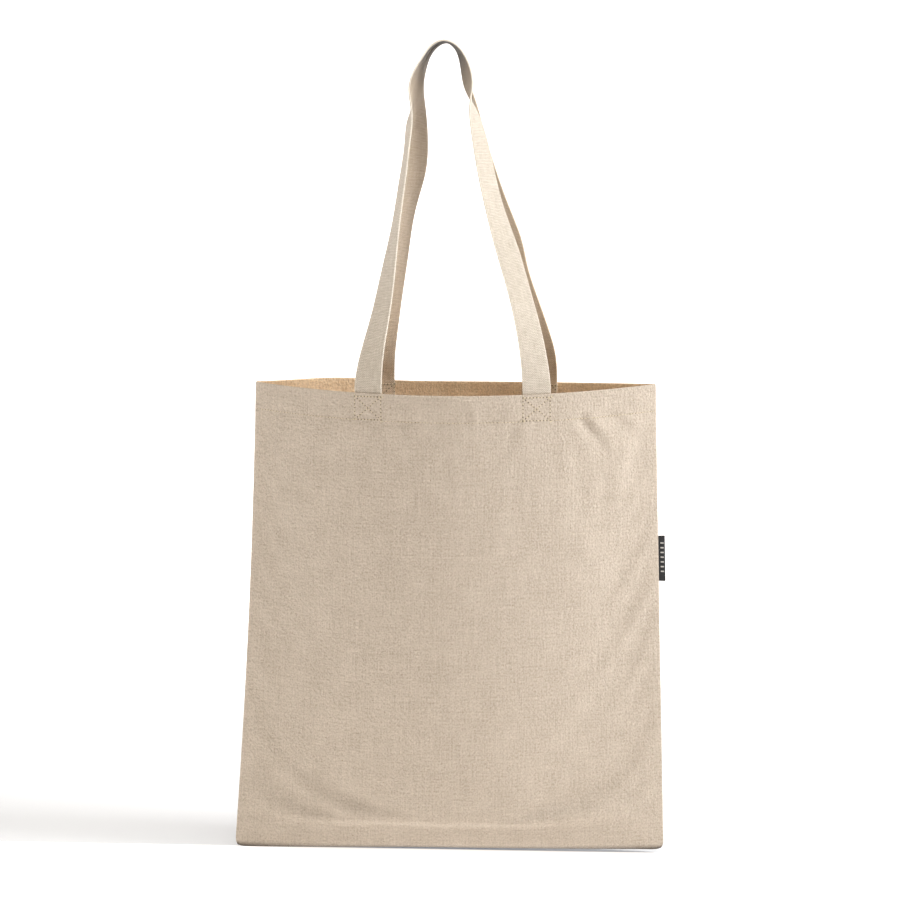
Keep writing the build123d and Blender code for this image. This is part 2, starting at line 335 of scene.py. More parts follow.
def webbing_material():
    """Cotton webbing: weft ribs straight across, two tones of yarn and a herringbone grain."""
    material, nodes = new_material("webbing")
    across, along = split(nodes, cloth_place(nodes, 1.0, 1.0))
    rib = (along * (2 * pi / RIB)).sine() * 0.5 + 0.5
    chevron = across.math("PINGPONG", CHEVRON)
    grain = ((chevron + along) * (2 * pi / WEBBING_YARN)).sine() * 0.5 + 0.5
    yarn = streaks(nodes, 1500, 90)
    pick = streaks(nodes, 120, 1300)
    tone = rib * 0.2 + grain * 0.3 + yarn * 0.55 + pick * 0.55
    colour = mix(nodes, tone.above(0.56, 0.46), WEBBING_SHADE, WEBBING_LIGHT)
    # painted highlight along both edges of the webbing
    edge = across.math("ABSOLUTE").above(EDGE_FROM, EDGE_FADE)
    colour = mix(nodes, edge * 0.7, colour, WEBBING_EDGE_HIGHLIGHT)
    # painted light and shade on faces inside the loop, darkest under the arch
    inner = inner_face(nodes)
    inner_shaded = nodes.add(
        "ShaderNodeVectorMath", {"operation": "SCALE"},
        {0: shaded(nodes, colour, WEBBING_INNER), 3: inner},
    )
    colour = mix(nodes, inner.above(0.0, 0.05), colour, inner_shaded)
    height = rib * 0.5 + grain * 0.6 + yarn * 0.4 + pick * 0.4
    finish_material(nodes, colour, 0.9, 0.3, height, WEBBING_RELIEF)
    return material


def thread_material(name, colours):
    """Spun thread: fine twist lines and a little unevenness."""
    material, nodes = new_material(name)
    place = nodes.add("ShaderNodeTexCoord", None, None, 3)
    twist = nodes.add(
        "ShaderNodeTexNoise", None, {"Vector": place, "Scale": THREAD_TWIST, "Detail": 2.0}
    )
    light, shade = colours
    colour = mix(nodes, twist, shade, light)
    finish_material(nodes, colour, 0.75, 0.2, twist, THREAD_RELIEF)
    return material


def label_material():
    """Dark woven ribbon with pale bars, evenly spaced, in the middle of each side."""
    material, nodes = new_material("label_ribbon")
    across, along = split(nodes, cloth_place(nodes, 1.0, 1.0))
    yarn = streaks(nodes, LABEL_YARN, LABEL_YARN)
    bars = (along * (2 * pi / BAR_PITCH)).sine().above(0.55, 0.2)
    reach = across.math("PINGPONG", LABEL_SEWN + LABEL_REACH)
    started = reach.above(LABEL_SEWN + BARS_FROM, 0.0002)
    stopped = reach.above(LABEL_SEWN + BARS_TO, 0.0002)
    inside = started * (1 - stopped)
    ends = 1 - along.math("ABSOLUTE").above(BARS_HALF_RUN, 0.0004)
    marks = bars * inside * ends
    base = mix(nodes, yarn, LABEL_DARK, LABEL_LIGHTER)
    colour = mix(nodes, marks * 0.8, base, LABEL_MARKS)
    finish_material(nodes, colour, 0.7, 0.3, yarn, 0.0001)
    return material


# ---- shape of the bag ---------------------------------------------------------------------
WALL_Y = FLAT_HALF_DEPTH + CURL_RADIUS * sin(radians(CURL_SWEEP))  # where the curl ends
WALL_Z = CURL_RADIUS * (1 - cos(radians(CURL_SWEEP)))


def swell(u):
    """Share of the depth at u, which runs from -1 at the left seam to 1 at the right one."""
    return SIDE_FILL + (1 - SIDE_FILL) * (1 - u * u)


def half_width(z):
    """Half the bag's width from seam to seam."""
    return CUT_HALF_WIDTH + (RIM_HALF_WIDTH - CUT_HALF_WIDTH) * z / HEIGHT


def middle_x(z):
    """The middle between the seams."""
    return RIM_SHIFT * z / HEIGHT


def seam_x(hand, z):
    """The side seam on that hand."""
    return middle_x(z) + hand * half_width(z)


def wall_depth(z):
    """Half the depth at the bag's middle, above the curl."""
    share = (z - WALL_Z) / (HEIGHT - WALL_Z)
    return sqrt(WALL_Y**2 + (RIM_HALF_DEPTH**2 - WALL_Y**2) * max(share, 0.0))


def rim_z(u):
    """Height of the rim."""
    return HEIGHT - RIM_DIP * swell(u)


def across_y(u, z):
    """Thickness of the cloth as it is measured along Y, where the panel slants."""
    return hypot(1.0, 2 * wall_depth(z) * u / half_width(z))


def wall_y(u, z, inwards):
    """Distance from the bag's middle plane, the given depth inside the outer face."""
    y = wall_depth(z) * swell(u) + (CLOTH - inwards) * across_y(u, z)
    return hypot(max(y, 0.0), SEAM_LIFT * abs(u) ** SEAM_LIFT_POWER)


def smooth_share(share):
    """The share kept from 0 to 1, with a soft start and end."""
    share = min(1.0, max(0.0, share))
    return share * share * (3 - 2 * share)


def settling(side, u, z):
    """How the standing bag has settled at u and z: shifts along X and Z.

    The bottom lifts a little off the floor from the middle to the right, its corners are
    round, the left side draws in, and the back rim stands up near its left end."""
    lift = BOTTOM_LIFT * smooth_share(u + 1) * max(0.0, 1 - z / LIFT_ENDS) ** 2
    draw = LEFT_DRAW * ((1 - u) / 2) ** 2 * sin(pi * min(max(z / HEIGHT, 0.0), 1.0))
    corner = smooth_share((abs(u) - CORNER_FROM) / CORNER_WIDE)
    corner *= max(0.0, 1 - z / CORNER_HIGH) ** 2
    draw -= CORNER_ROUND * corner * (1 if u > 0 else -1)
    lift += CORNER_ROUND * CORNER_RISE * corner
    if side == BACK:
        near = exp(-(((u - BACK_RISE_U) / BACK_RISE_WIDE) ** 2))
        lift += BACK_RISE * near * smooth_share((z - BACK_RISE_FROM) / BACK_RISE_HIGH)
    return draw, lift


def u_at(x, z):
    """The u of a place at x."""
    return (x - middle_x(z)) / half_width(z)


def steps(first, last, count):
    """Evenly spaced values from the first to the last."""
    return [first + (last - first) * i / (count - 1) for i in range(count)]


# ---- canvas panels ------------------------------------------------------------------------
CELL = 0.0047  # size of the simulated cloth's cells
HELD_UNDER = 0.030  # the cloth is held below this height,
HELD_OVER = HEIGHT - HEM - 0.008  # above this one, by the hem's stitches,
HELD_PAST = 0.965  # and past this u, by the side seams
JITTER, JITTER_SCALE = 0.0006, 22.0  # small unevenness that lets the cloth start to buckle
SIM_FRAMES = 24
SIM_CAP = 0.0035  # how far the simulation may move the cloth
TURN_GAP = 0.00003  # half the gap between the two panels' turned allowances

# Creases that the sewing pulls into a panel: x and z of both ends, half width and height.
CREASES = {
    FRONT: [
        (0.119, 0.391, 0.134, 0.375, 0.0034, -0.0036),
        (0.124, 0.394, 0.141, 0.372, 0.0038, 0.0036),
        (0.111, 0.388, 0.122, 0.366, 0.0045, 0.0024),
        (0.148, 0.391, 0.160, 0.381, 0.0034, -0.0030),
        (0.152, 0.394, 0.166, 0.384, 0.0038, 0.0030),
        (0.062, 0.388, 0.050, 0.366, 0.0050, -0.0009),
        (0.070, 0.388, 0.060, 0.360, 0.0050, 0.0008),
        (0.042, 0.390, 0.036, 0.372, 0.0045, -0.0009),
        (0.098, 0.388, 0.104, 0.352, 0.0060, 0.0009),
        (-0.084, 0.391, -0.098, 0.360, 0.0060, 0.0008),
        (-0.052, 0.390, -0.044, 0.366, 0.0050, -0.0007),
        (0.095, 0.330, 0.125, 0.250, 0.0200, 0.0012),
        (0.140, 0.300, 0.150, 0.200, 0.0180, -0.0010),
        (-0.120, 0.300, -0.100, 0.200, 0.0250, -0.0010),
    ],
    BACK: [
        (0.110, 0.390, 0.135, 0.360, 0.0060, 0.0010),
        (-0.085, 0.390, -0.105, 0.355, 0.0060, -0.0010),
        (-0.050, 0.392, -0.040, 0.362, 0.0050, 0.0009),
        (0.020, 0.300, 0.060, 0.180, 0.0250, 0.0012),
    ],
}
CREASED_FROM = 0.35  # above this height the held cloth under the hem is creased too
HEM_GROOVE = 0.0010  # depth the hem's stitches pull the cloth in,
GROOVE_WIDE = 0.0026  # and how far that reaches
HEM_PUCKER = 0.0015  # height of the small puckers beside them,
PUCKER_WIDE = 0.016  # and how far those reach


def panel_rows():
    """Rows of the cut panel from the bottom allowance, over the rim, to the hem's edge."""
    rows = [("allowance", ALLOWANCE), ("allowance", ALLOWANCE / 2), ("allowance", CLOTH)]
    rows += [("floor", 0.35), ("floor", 0.75)]
    rows += [("curl", radians(a)) for a in steps(0, CURL_SWEEP, 7)]
    count = round((HEIGHT - WALL_Z) / CELL)
    rows += [("wall", share) for share in steps(1.0 / count, 1.0, count)]
    rows += [("rim", 0.0)]
    rows += [("hem", d * HEM) for d in (0.03, 0.16, 0.36, 0.57, 0.78, 0.94, 1.0)]
    return rows


def panel_columns():
    """Columns from the left allowance to the right one: a u, and how far past the seam."""
    count = round(2 * CUT_HALF_WIDTH / CELL)
    us = steps(-1.0, 1.0, count)
    near = [1 - 0.0075, 1 - 0.0026]
    us = sorted(us + near + [-u for u in near])
    past = [CLOTH * 1.2, ALLOWANCE / 2, ALLOWANCE]
    columns = [(-1.0, p) for p in reversed(past)]
    columns += [(u, 0.0) for u in us]
    return columns + [(1.0, p) for p in past]


def panel_point(side, u, past, kind, value):
    """Place of the cloth's middle layer."""
    g = swell(u)
    half = CLOTH / 2
    if kind == "allowance":
        y, z = half + TURN_GAP, value
    elif kind == "floor":
        y, z = half + FLAT_HALF_DEPTH * g * value, half
    elif kind == "curl":
        y = FLAT_HALF_DEPTH * g + (CURL_RADIUS * g + half) * sin(value)
        y = hypot(y, SEAM_LIFT * abs(u) ** SEAM_LIFT_POWER)
        z = CURL_RADIUS - (CURL_RADIUS - half) * cos(value)
    elif kind == "wall":
        start = WALL_Z + half / 2
        z = start + (rim_z(u) - half * 1.2 - start) * value
        y = wall_y(u, z, half)
    elif kind == "rim":
        z = rim_z(u) - half
        y = wall_y(u, z, CLOTH)
    else:
        z = rim_z(u) - half * 1.2 - value
        y = wall_y(u, z, 3 * half)
    x = middle_x(z) + u * half_width(z)
    if past:
        x -= u * past
        y = half + TURN_GAP
    elif abs(u) == 1.0 and kind in ("wall", "curl"):
        y = CLOTH
    draw, lift = settling(side, u, z)
    return x + draw, side * y, z + lift


def panel_has(u, past, kind, z):
    """Whether the cut has cloth there: the corners of the allowances are trimmed away."""
    if past:
        return kind in ("curl", "wall") and z < HEIGHT - HEM - 0.001
    if kind in ("allowance", "floor"):
        return abs(u) < 1 - ALLOWANCE / CUT_HALF_WIDTH or kind == "floor"
    return True


def panel_mesh(side):
    """Middle layer of one panel as a grid, with the cut's own size in its UV map."""
    rows, columns = panel_rows(), panel_columns()
    centre = [Vector(panel_point(side, 0.0, 0.0, *row)) for row in rows]
    lengths = [0.0]
    for one, other in zip(centre, centre[1:]):
        lengths.append(lengths[-1] + (other - one).length)
    index, points, marks = {}, [], []
    for j, row in enumerate(rows):
        for i, (u, past) in enumerate(columns):
            point = panel_point(side, u, past, *row)
            if panel_has(u, past, row[0], point[2]):
                index[i, j] = len(points)
                points.append(point)
                marks.append((u * CUT_HALF_WIDTH + (past if u > 0 else -past), lengths[j]))
    faces = []
    for j in range(len(rows) - 1):
        for i in range(len(columns) - 1):
            corners = [(i, j), (i + 1, j), (i + 1, j + 1), (i, j + 1)]
            if all(c in index for c in corners):
                face = [index[c] for c in corners]
                faces.append(face if side == FRONT else face[::-1])
    mesh = bpy.data.meshes.new(SIDES[side] + "_canvas")
    mesh.from_pydata(points, [], faces)
    layer = mesh.uv_layers.new(name="UVMap")
    for loop in mesh.loops:
        layer.data[loop.index].uv = marks[loop.vertex_index]
    free = []
    for i, j in index:
        (u, past), kind = columns[i], rows[j][0]
        middle = kind == "wall" and past == 0 and abs(u) < HELD_PAST
        free.append(middle and HELD_UNDER < points[index[i, j]][2] < HELD_OVER)
    return mesh, free


def simulate(panel, free):
    """Lets the cloth hang and buckle a little between its seams, and keeps the result."""
    held = panel.vertex_groups.new(name="held")
    held.add([k for k, is_free in enumerate(free) if not is_free], 1.0, "REPLACE")
    rest = np.array([v.co for v in panel.data.vertices])
    for vertex, is_free in zip(panel.data.vertices, free):
        if is_free:
            vertex.co.y += noise.noise(vertex.co * JITTER_SCALE) * JITTER
    cloth = panel.modifiers.new("cloth", "CLOTH")
    settings = cloth.settings
    settings.quality = 6
    settings.mass = 0.25
    settings.tension_stiffness = 25
    settings.compression_stiffness = 25
    settings.shear_stiffness = 12
    settings.bending_stiffness = 4.0
    settings.vertex_group_mass = "held"
    settings.shrink_min = -0.006
    cloth.collision_settings.use_collision = False
    cloth.collision_settings.use_self_collision = False
    scene = bpy.context.scene
    for number in range(1, SIM_FRAMES + 1):
        scene.frame_set(number)
    seen = panel.evaluated_get(bpy.context.evaluated_depsgraph_get())
    moved = np.array([v.co for v in seen.data.vertices])
    panel.modifiers.remove(cloth)
    panel.vertex_groups.remove(held)
    scene.frame_set(1)
    shift = moved - rest
    far = np.linalg.norm(shift, axis=1, keepdims=True)
    shift *= SIM_CAP / np.maximum(far, SIM_CAP)
    panel.data.vertices.foreach_set("co", (rest + shift).astype(np.float32).ravel())


def crease_shift(side, x, z):
    """How far the creases push the cloth outwards there."""
    total = 0.0
    for x1, z1, x2, z2, wide, high in CREASES[side]:
        run_x, run_z = x2 - x1, z2 - z1
        length = hypot(run_x, run_z)
        along = ((x - x1) * run_x + (z - z1) * run_z) / length
        off = ((x - x1) * run_z - (z - z1) * run_x) / length
        past = max(-along, along - length, 0.0)
        total += high * exp(-((off / wide) ** 2) - (past / wide / 1.5) ** 2)
    off = z - (rim_z(u_at(x, z)) - HEM + STITCH_LINE)
    ripple = noise.noise(Vector((x * 95, side * 3.0, z * 60)))
    ripple += 0.6 * noise.noise(Vector((x * 210, side * 7.0, z * 150)))
    total += HEM_PUCKER * ripple * exp(-((off / PUCKER_WIDE) ** 2))
    return total - HEM_GROOVE * exp(-((off / GROOVE_WIDE) ** 2))


def finished(rough, modifiers, name):
    """The object's evaluated mesh as a plain object in its own right."""
    for kind, values in modifiers:
        modifier = rough.modifiers.new(kind.lower(), kind)
        for key, value in values.items():
            setattr(modifier, key, value)
    seen = rough.evaluated_get(bpy.context.evaluated_depsgraph_get())
    mesh = bpy.data.meshes.new_from_object(seen)
    bpy.data.objects.remove(rough)
    mesh.name = name
    for polygon in mesh.polygons:
        polygon.use_smooth = True
    return put(name, mesh)


def mark_inner(mesh, flags):
    """Writes which faces look inwards, and how much painted light and shade they get, for the
    materials.
    """
    attribute = mesh.attributes.new(INNER_MARK, "FLOAT", "FACE")
    attribute.data.foreach_set("value", np.array(flags, np.float32))


def make_panel(side, canvas):
    """One canvas panel with its hem and allowances."""
    name = SIDES[side] + "_canvas"
    mesh, free = panel_mesh(side)
    rough = put(name + "_cut", mesh)
    simulate(rough, free)
    for vertex, is_free in zip(mesh.vertices, free):
        if is_free or vertex.co.z > CREASED_FROM:
            x, y, z = vertex.co
            edge = 1 - abs(u_at(x, z)) ** 8
            vertex.co.y += side * crease_shift(side, x, z) * max(edge, 0.0)
    mesh.materials.append(canvas)
    panel = finished(rough, [
        ("SUBSURF", {"levels": 1, "render_levels": 1}),
        ("SOLIDIFY", {"thickness": CLOTH, "offset": 0.0}),
    ], name)
    # painted light on the faces that look into the bag
    mark_inner(panel.data, [polygon.normal.y * side < 0 for polygon in panel.data.polygons])
    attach(panel, "bag")
    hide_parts(SIDES[side] + "_panel")
    return panel


# ---- handles ------------------------------------------------------------------------------
# Routes from the left end to the right one: x from the middle of the rim and height above
# the rim, in millimetres, and the turn of the webbing in degrees.
ROUTES = {
    FRONT: [
        (-71.5, 0, 17), (-69.5, 24, 30), (-61.5, 63, 48), (-55.4, 98, 58), (-48.6, 142, 72),
        (-43.5, 178, 75), (-39.5, 210, 77), (-36.4, 238, 86), (-33.4, 254, 112),
        (-30.4, 269, 107), (-26, 282, 93), (-20.2, 291.5, 90), (-9, 297, 92),
        (0.8, 292.5, 98), (6.4, 284, 105), (10.3, 272, 112), (12.9, 259, 110), (15.6, 244, 88),
        (21.4, 219, 66), (28, 187, 59), (37.2, 150, 54), (48, 116, 44), (57.5, 84, 44),
        (65.5, 53, 37), (71, 23, 26), (73, 0, 17),
    ],
    BACK: [
        (-69.6, 0, 17), (-68.3, 20, 26), (-63.5, 47, 42), (-57, 80, 54), (-51.5, 108, 60),
        (-46, 138, 65), (-40.5, 163, 62), (-35.5, 185, 55), (-33.5, 211, 54),
        (-33.2, 236, 64), (-31.2, 257, 84), (-26.8, 276, 90), (-20, 290, 90),
        (-9, 296.5, 90), (1, 290.5, 92), (7.8, 278, 94), (12.4, 262, 92), (15.8, 244, 80),
        (20.0, 218, 66), (27.0, 189, 58), (35.5, 160, 50), (42.5, 139, 42), (47, 123, 34),
        (53, 101, 42), (62.5, 72, 44), (71, 44, 36), (76, 20, 24), (76.6, 0, 17),
    ],
}
TAB_INWARDS = 2 * CLOTH + SEWN_GAP + WEBBING / 2  # depth of the webbing's middle in the hem
TAB_FADE = 0.018  # height over which the webbing leaves the canvas's curve
BEND_FROM, BEND_TO = -0.0005, 0.010  # two heights above the rim, which make_handle reads but builds nothing from
ROW = 0.00043  # three rows to a rib
RIB_RELIEF = 0.06  # depth of the ribs, as a share of the thickness
SCALLOP = 0.022  # how far the ribs stand out of the webbing's edges, as a share
ROUND_EDGE = 0.0007
# Heights above the rim, and the painted light and shade on the webbing's inner face there: darkest
# under the arch.
LOOP_SHADE = (
    (0.0, 0.06, 0.12, 0.17, 0.24, 0.262, 0.274, 0.285, 0.297),
    (1.25, 1.15, 0.98, 0.84, 0.82, 0.70, 0.50, 0.22, 0.08),
)


def handle_x(side, hand):
    """The middle of a handle's sewn end."""
    return RIM_SHIFT + HANDLE_SHIFT[side] + hand * HANDLE_X


def smooth_line(marks, values, at):
    """Natural cubic spline through the values at their marks, read at other marks."""
    marks, values = np.array(marks), np.array(values, float)
    gap = np.diff(marks)
    slope = np.diff(values, axis=0) / gap[:, None]
    count = len(marks)
    system = np.eye(count)
    right = np.zeros_like(values)
    for i in range(1, count - 1):
        system[i, i - 1:i + 2] = gap[i - 1], 2 * (gap[i - 1] + gap[i]), gap[i]
        right[i] = 6 * (slope[i] - slope[i - 1])
    bend = np.linalg.solve(system, right)
    k = np.clip(np.searchsorted(marks, at) - 1, 0, count - 2)
    before, after = (at - marks[k])[:, None], (marks[k + 1] - at)[:, None]
    h = gap[k][:, None]
    return (
        (bend[k] * after**3 + bend[k + 1] * before**3) / (6 * h)
        + (values[k] / h - bend[k] * h / 6) * after
        + (values[k + 1] / h - bend[k + 1] * h / 6) * before
    )


def handle_line(side):
    """Points and turns of the webbing's middle from the end of one sewn tab to the other."""
    route = ROUTES[side]
    u = u_at(handle_x(side, RIGHT), HEIGHT)
    base_y, base_z = wall_y(u, rim_z(u), TAB_INWARDS), rim_z(u)
    top_y = APEX_GAP + WEBBING_WIDTH / 2
    apex = max(h for _, h, _ in route) / 1000
    loop = []
    for x, h, turn in route:
        h /= 1000
        y = base_y + (top_y - base_y) * h / apex
        loop.append((RIM_SHIFT + x / 1000, side * y, base_z + HANDLE_START + h, turn))
    tabs = []
    for end in (loop[0], loop[-1]):
        x = end[0]
        heights = [base_z - HEM * share for share in (1.0, 0.66, 0.33, 0.06)]
        tabs.append([(x, side * wall_y(u, z, TAB_INWARDS), z, end[3]) for z in heights])
    line = np.array(tabs[0] + loop + tabs[1][::-1])
    runs = np.linalg.norm(np.diff(line[:, :3], axis=0), axis=1)
    return line, np.concatenate([[0.0], np.cumsum(runs)])


def webbing_ring():
    """Section of the webbing: places across and through it, as shares of half its size."""
    flat = steps(-1 + ROUND_EDGE / WEBBING_WIDTH * 2, 1 - ROUND_EDGE / WEBBING_WIDTH * 2, 9)
    face = [(a, 1.0 if abs(a) < 0.9 else 0.96) for a in flat]
    return (
        face + [(0.985, 0.7), (1.0, 0.0), (0.985, -0.7)]
        + [(a, -b) for a, b in reversed(face)] + [(-0.985, -0.7), (-1.0, 0.0), (-0.985, 0.7)]
    )


def loop_mark(polygon, count, heights):
    """How much painted light and shade a face inside the loop gets; 0 for a face that looks out of
    it.
    """
    if min(v % count for v in polygon.vertices) < count // 2:
        return 0.0
    return float(np.interp(heights[polygon.vertices[0] // count], *LOOP_SHADE))


def make_handle(side, webbing):
    """One strap, swept along its route, with both ends sewn inside the hem."""
    name = SIDES[side] + "_handle"
    line, marks = handle_line(side)
    at = np.arange(0.0, marks[-1], ROW)
    places = smooth_line(marks, line, at)
    middle, turn = places[:, :3], np.radians(places[:, 3:4])
    along = np.gradient(middle, axis=0)
    along /= np.linalg.norm(along, axis=1, keepdims=True)
    loop_side = np.array([[0.0, 1.0, 0.0]]) - along * along[:, 1:2]
    loop_side /= np.linalg.norm(loop_side, axis=1, keepdims=True)
    flat = np.cross(loop_side, along)
    width = flat * np.cos(turn) + loop_side * (side * np.sin(turn))
    thick = np.cross(along, width) * side
    ring = webbing_ring()
    wave = np.cos(2 * pi * at / RIB)
    rib = 1 - RIB_RELIEF * (0.5 + 0.5 * wave)
    u = u_at(handle_x(side, RIGHT), HEIGHT)
    rim = rim_z(u)
    points = np.zeros((len(at), len(ring), 3))
    for k, (a, b) in enumerate(ring):
        half_thick = WEBBING / 2 * b * rib
        reach = a * WEBBING_WIDTH / 2 * (1 + SCALLOP * abs(a) ** 8 * wave)
        points[:, k] = middle + width * reach[:, None] + thick * half_thick[:, None]
        for i in np.nonzero(middle[:, 2] < rim + TAB_FADE)[0]:
            x, y, z = points[i, k]
            sewn = wall_y(u_at(x, z), min(z, rim + 0.001), TAB_INWARDS - half_thick[i])
            share = smooth_share((middle[i, 2] - rim) / TAB_FADE)
            points[i, k, 1] = side * sewn * (1 - share) + y * share
    count = len(ring)
    faces = [
        (i * count + k, i * count + (k + 1) % count,
         (i + 1) * count + (k + 1) % count, (i + 1) * count + k)
        for i in range(len(at) - 1) for k in range(count)
    ]
    faces += [tuple(range(count)), tuple(range((len(at) - 1) * count, len(at) * count))]
    mesh = bpy.data.meshes.new(name + "_webbing")
    mesh.from_pydata(points.reshape(-1, 3).tolist(), [], faces)
    layer = mesh.uv_layers.new(name="UVMap")
    for loop in mesh.loops:
        i, k = divmod(loop.vertex_index, count)
        layer.data[loop.index].uv = (ring[k][0] * WEBBING_WIDTH / 2, at[i])
    face_outwards(mesh)
    heights = middle[:, 2] - rim
    # painted light and shade of the loop's inner faces
    mark_inner(mesh, [loop_mark(polygon, count, heights) for polygon in mesh.polygons])
    mesh.materials.append(webbing)
    handle = put(name + "_webbing", mesh)
    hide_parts(name, *[f"{SIDES[side]}_{hand}_handle_end" for hand in HANDS.values()])
    y = middle[0, 1]
    rim + BEND_FROM
    rim + BEND_TO
    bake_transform(handle)
    return handle


def face_outwards(mesh):
    """Turns every face to the outside and shades it smooth."""
    shape = bmesh.new()
    shape.from_mesh(mesh)
    bmesh.ops.recalc_face_normals(shape, faces=shape.faces)
    for face in shape.faces:
        face.smooth = True
    shape.to_mesh(mesh)
    shape.free()


# ---- sewing -------------------------------------------------------------------------------
SEWING = {"Pitch": 0.0029, "Length": 0.0021, "Width": 0.0007, "Hole": 0.0013}
HEM_SEWING = {"Pitch": 0.0030, "Length": 0.0025, "Width": 0.0006, "Hole": 0.0008}
OVERLOCKING = {"Pitch": 0.0024, "Reach": OVERLOCK, "Around": 4 * CLOTH, "Width": 0.0004}
BOX_SEED, HEM_SEED, OVERLOCK_SEED = 3, 5, 7
WOBBLE = 0.85, 1.15  # smallest and largest size of a stitch, as a share
LEAN = (-0.05, 0.15, -0.05), (0.05, 0.4, 0.05)  # how far the overlock's loops lean, in radians


def line_tree(name, numbers, materials):
    """Tree that works along a line, with its number, seed and material inputs.

    Gives the tree, its nodes and inputs, and the line's points, direction and outward normal."""
    tree = bpy.data.node_groups.new(name, "GeometryNodeTree")
    made = tree.interface
    made.new_socket("Line", in_out="INPUT", socket_type="NodeSocketGeometry")
    for label in numbers:
        made.new_socket(label, in_out="INPUT", socket_type="NodeSocketFloat")
    made.new_socket("Seed", in_out="INPUT", socket_type="NodeSocketInt")
    for label in materials:
        made.new_socket(label, in_out="INPUT", socket_type="NodeSocketMaterial")
    made.new_socket("Sewing", in_out="OUTPUT", socket_type="NodeSocketGeometry")
    nodes = Nodes(tree)
    entry = tree.nodes.new("NodeGroupInput")
    given = {s.name: Wire(nodes, s) for s in entry.outputs if s.name}
    curve = nodes.add("GeometryNodeMeshToCurve", None, {"Mesh": given["Line"]})
    curve = nodes.add(
        "GeometryNodeResampleCurve", {"mode": "LENGTH"}, {"Curve": curve, "Length": given["Pitch"]}
    )
    tangent = nodes.add("GeometryNodeInputTangent")
    normal = nodes.add(
        "GeometryNodeInputNamedAttribute", {"data_type": "FLOAT_VECTOR"}, {"Name": "outwards"}
    )
    return tree, nodes, given, curve, tangent, normal


def xyz(nodes, x, y, z):
    """Vector put together from three numbers."""
    return nodes.add("ShaderNodeCombineXYZ", None, {0: x, 1: y, 2: z})


def realized(nodes, copies, material):
    """Instances made into plain geometry of one material."""
    solid = nodes.add("GeometryNodeRealizeInstances", None, {"Geometry": copies})
    return nodes.add("GeometryNodeSetMaterial", None, {"Geometry": solid, "Material": material})


def stitch_tree():
    """Stitches along a line: a thread instance on each pitch, and between them a dark disc of
    painted shade in the needle hole.
    """
    tree, nodes, given, curve, tangent, normal = line_tree(
        "stitch_line", ("Pitch", "Length", "Width", "Hole"), ("Thread", "Shade")
    )
    facing = nodes.add(
        "FunctionNodeAxesToRotation", {"primary_axis": "Z", "secondary_axis": "X"},
        {"Primary Axis": normal, "Secondary Axis": tangent},
    )
    wobble = nodes.add(
        "FunctionNodeRandomValue", {"data_type": "FLOAT"},
        {2: WOBBLE[0], 3: WOBBLE[1], "Seed": given["Seed"]}, 1,
    )
    ball = nodes.add("GeometryNodeMeshUVSphere", None, {"Segments": 8, "Rings": 5, "Radius": 0.5})

    def placed(size, shift, material):
        shape = nodes.add("GeometryNodeTransform", None, {"Geometry": ball, "Scale": size})
        copies = nodes.add(
            "GeometryNodeInstanceOnPoints", None,
            {"Points": curve, "Instance": shape, "Rotation": facing, "Scale": wobble},
        )
        copies = nodes.add(
            "GeometryNodeTranslateInstances", None, {"Instances": copies, "Translation": shift}
        )
        return realized(nodes, copies, material)

    thread = placed(
        xyz(nodes, given["Length"], given["Width"], given["Width"] * 0.7),
        xyz(nodes, given["Pitch"] * 0.5, 0.0, given["Width"] * 0.1), given["Thread"],
    )
    # painted shade: a flat dark disc where each needle hole is
    hole = placed(
        xyz(nodes, given["Hole"], given["Hole"], given["Hole"] * 0.3), (0.0, 0.0, 0.0),
        given["Shade"],
    )
    joined = tree.nodes.new("GeometryNodeJoinGeometry")
    for part in (thread, hole):
        tree.links.new(part.socket, joined.inputs[0])
    leave = tree.nodes.new("NodeGroupOutput")
    tree.links.new(joined.outputs[0], leave.inputs[0])
    return tree


def sew(name, runs, tree, values):
    """Stitches along runs of (point, outwards) pairs, as one plain mesh that rides on the bag."""
    points, normals, edges = [], [], []
    for run in runs:
        first = len(points)
        edges += [(k, k + 1) for k in range(first, first + len(run) - 1)]
        points += [p for p, _ in run]
        normals += [n for _, n in run]
    mesh = bpy.data.meshes.new(name + "_line")
    mesh.from_pydata(points, edges, [])
    attribute = mesh.attributes.new("outwards", "FLOAT_VECTOR", "POINT")
    attribute.data.foreach_set("vector", np.array(normals, np.float32).ravel())
    line = put(name + "_line", mesh)
    modifier = line.modifiers.new("stitches", "NODES")
    modifier.node_group = tree
    for item in tree.interface.items_tree:
        if item.in_out == "INPUT" and item.name in values:
            modifier[item.identifier] = values[item.name]
    sewn = finished(line, [], name)
    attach(sewn, "bag")
    return sewn


def surface_of(*pieces):
    """Search trees of finished pieces."""
    trees = []
    for piece in pieces:
        shape = bmesh.new()
        shape.from_mesh(piece.data)
        trees.append(BVHTree.FromBMesh(shape))
        shape.free()
    return trees


def seen_from(tree, x, z, start_y, way):
    """The first point of a surface on the line through x and z, and its outward normal."""
    point, normal, _, _ = tree.ray_cast(Vector((x, start_y, z)), Vector((0, way, 0)))
    if point is None:
        return None
    return point, (normal if normal.y * way < 0 else -normal)


def stitch_run(tree, start, end, start_y, way):
    """Points close together on the surface between two (x, z) places."""
    count = max(2, round(hypot(end[0] - start[0], end[1] - start[1]) / STITCH_STEP) + 1)
    found = [
        seen_from(tree, x, z, start_y, way)
        for x, z in zip(steps(start[0], end[0], count), steps(start[1], end[1], count))
    ]
    return [f for f in found if f]


def box_runs(x, z):
    """The sides and the cross of a box stitch, as pairs of places."""
    a, b = BOX_WIDTH / 2, BOX_HEIGHT / 2
    corners = [(x - a, z + b), (x + a, z + b), (x + a, z - b), (x - a, z - b)]
    sides = list(zip(corners, corners[1:] + corners[:1]))
    return sides + [(corners[0], corners[2]), (corners[3], corners[1])]


